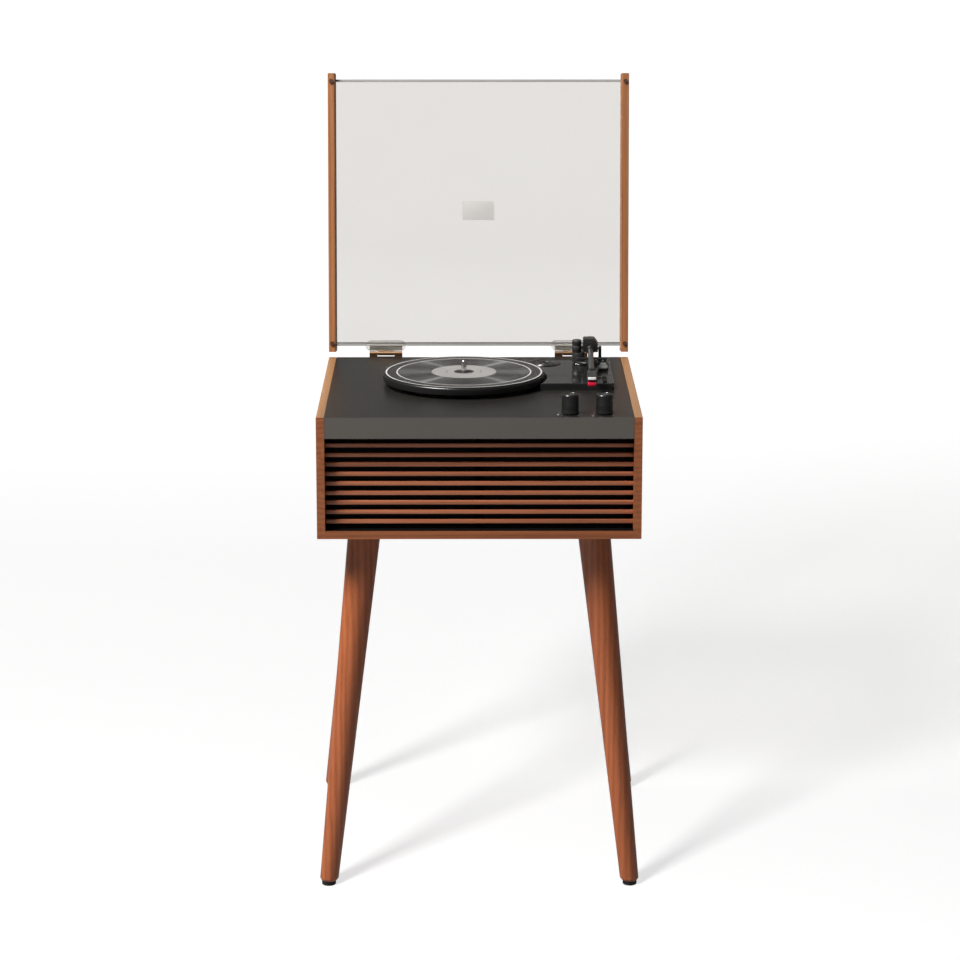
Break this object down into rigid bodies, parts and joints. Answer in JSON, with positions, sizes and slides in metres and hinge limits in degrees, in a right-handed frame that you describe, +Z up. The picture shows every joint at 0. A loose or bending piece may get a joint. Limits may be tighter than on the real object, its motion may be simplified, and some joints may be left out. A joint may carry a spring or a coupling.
{
  "type": "record player console",
  "caption": "Record player console: slatted wooden cabinet on splayed tapered legs with a belt-driven turntable, tonearm, knobs and a hinged clear lid with wooden rails.",
  "frame": {"origin": "on the floor below the middle of the overall box, lid open", "axes": "+Z up, -Y towards the front with the knobs and the grille, +X to the right seen from the front"},
  "size_m": [0.4424, 0.5132, 1.0261],
  "materials": {
    "walnut_panel": "satin lacquer",
    "walnut_slat": "satin lacquer",
    "walnut_leg": "satin stain",
    "walnut_rail": "satin lacquer",
    "fibreboard": "raw board",
    "deck_black": "fine matt texture",
    "gloss_black": "polished",
    "matt_black": "moulded satin",
    "clear_acrylic": "clear polished",
    "record_mat": "printed felt",
    "platter_black": "satin",
    "steel": "brushed",
    "hinge_metal": "warm nickel",
    "chrome_tube": "polished",
    "red_plastic": "moulded",
    "grey_plastic": "moulded",
    "rubber_black": "matt",
    "bumper_brown": "matt",
    "circuit_board": "solder mask",
    "cone_paper": "paper",
    "cloth_black": "woven"
  },
  "bodies": {
    "cabinet": {"amplifier_board": "circuit_board", "arm_rest": "matt_black", "bottom_panel": "walnut_panel", "cabinet_screws": "steel", "cue_bracket": "matt_black", "deck_cleats": "fibreboard", "deck_plate": "deck_black", "drive_belt": "rubber_black", "foot_pads": "rubber_black", "function_switch": "steel", "grille_slats": "walnut_slat", "grille_stiles": "walnut_slat", "hinge_cabinet_leaves": "hinge_metal", "hinge_pins": "hinge_metal", "left_side_panel": "walnut_panel", "leg_front_left": "walnut_leg", "leg_front_right": "walnut_leg", "leg_plates": "steel", "leg_rear_left": "walnut_leg", "leg_rear_right": "walnut_leg", "motor": "steel", "rear_jack_plate": "matt_black", "rear_panel": "walnut_panel", "rear_sockets": "steel", "right_side_panel": "walnut_panel", "speaker_baffle": "fibreboard", "speaker_cloth": "cloth_black", "speaker_cones": "cone_paper", "speaker_frames": "steel", "spindle_bearing": "steel", "tonearm_base": "matt_black", "tonearm_board": "gloss_black", "volume_control": "steel"},
    "lid": {"lid_left_rail": "walnut_rail", "lid_right_rail": "walnut_rail", "lid_cover": "clear_acrylic", "lid_bumpers": "bumper_brown", "hinge_lid_leaves": "hinge_metal", "hinge_blocks": "clear_acrylic", "hinge_lid_screws": "hinge_metal"},
    "platter": {"platter": "platter_black", "slipmat": "record_mat", "spindle": "steel"},
    "motor_pulley": {"motor_pulley": "steel"},
    "arm_yoke": {"arm_yoke": "matt_black"},
    "antiskate_dial": {"antiskate_dial": "matt_black"},
    "tonearm": {"arm_block": "matt_black", "arm_tube": "chrome_tube", "headshell": "matt_black", "cartridge": "matt_black", "stylus": "red_plastic"},
    "counterweight": {"counterweight": "matt_black"},
    "volume_knob": {"volume_knob": "matt_black"},
    "function_knob": {"function_knob": "matt_black"},
    "cue_lever": {"cue_lever": "grey_plastic"},
    "lift_platform": {"lift_platform": "matt_black"},
    "speed_selector": {"speed_selector": "matt_black"},
    "autostop_switch": {"autostop_switch": "matt_black"},
    "adapter_45": {"adapter_45": "gloss_black"}
  },
  "joints": [
    {"name": "lid_hinge", "type": "hinge", "parent": "cabinet", "child": "lid", "pos_m": [0, 0.15574, 0.639], "axis": [1, 0, 0], "range_deg": [0, 98]},
    {"name": "platter_spin", "type": "hinge", "parent": "cabinet", "child": "platter", "pos_m": [-0.0202, -0.03026, 0.634], "axis": [0, 0, 1], "continuous": true},
    {"name": "motor_pulley_spin", "type": "hinge", "parent": "cabinet", "child": "motor_pulley", "pos_m": [-0.0754, -0.10386, 0.634], "axis": [0, 0, 1], "continuous": true},
    {"name": "tonearm_swing", "type": "hinge", "parent": "cabinet", "child": "arm_yoke", "pos_m": [0.1536, 0.06314, 0.645], "axis": [0, 0, 1], "range_deg": [-43.5, 0]},
    {"name": "tonearm_lift", "type": "hinge", "parent": "arm_yoke", "child": "tonearm", "pos_m": [0.1536, 0.06314, 0.664], "axis": [-0.9997, 0.0262, 0], "range_deg": [0, 3.5]},
    {"name": "counterweight_turn", "type": "hinge", "parent": "tonearm", "child": "counterweight", "pos_m": [0.1536, 0.06314, 0.664], "axis": [0.0262, 0.9997, 0], "range_deg": [-180, 180]},
    {"name": "antiskate_turn", "type": "hinge", "parent": "arm_yoke", "child": "antiskate_dial", "pos_m": [0.13481, 0.06363, 0.664], "axis": [0, 0, 1], "range_deg": [0, 180]},
    {"name": "volume_turn", "type": "hinge", "parent": "cabinet", "child": "volume_knob", "pos_m": [0.1614, -0.22366, 0.644], "axis": [0, 0, -1], "range_deg": [0, 300]},
    {"name": "function_turn", "type": "hinge", "parent": "cabinet", "child": "function_knob", "pos_m": [0.1174, -0.22366, 0.644], "axis": [0, 0, -1], "range_deg": [0, 60]},
    {"name": "cue_lever_turn", "type": "hinge", "parent": "cabinet", "child": "cue_lever", "pos_m": [0.17, 0.03274, 0.6473], "axis": [-1, 0, 0], "range_deg": [0, 20]},
    {"name": "lift_platform_slide", "type": "slide", "parent": "cabinet", "child": "lift_platform", "axis": [0, 0, 1], "range_m": [0, 0.004]},
    {"name": "speed_select_slide", "type": "slide", "parent": "cabinet", "child": "speed_selector", "axis": [0, 1, 0], "range_m": [0, 0.01]},
    {"name": "autostop_slide", "type": "slide", "parent": "cabinet", "child": "autostop_switch", "axis": [0, 1, 0], "range_m": [0, 0.006]},
    {"name": "adapter_lift", "type": "slide", "parent": "cabinet", "child": "adapter_45", "axis": [0, 0, 1], "range_m": [0, 0.03]}
  ],
  "couplings": [
    {"joint": "motor_pulley_spin", "follows": "platter_spin", "ratio": 12.25},
    {"joint": "lift_platform_slide", "follows": "cue_lever_turn", "m_per_rad": 0.011448}
  ]
}
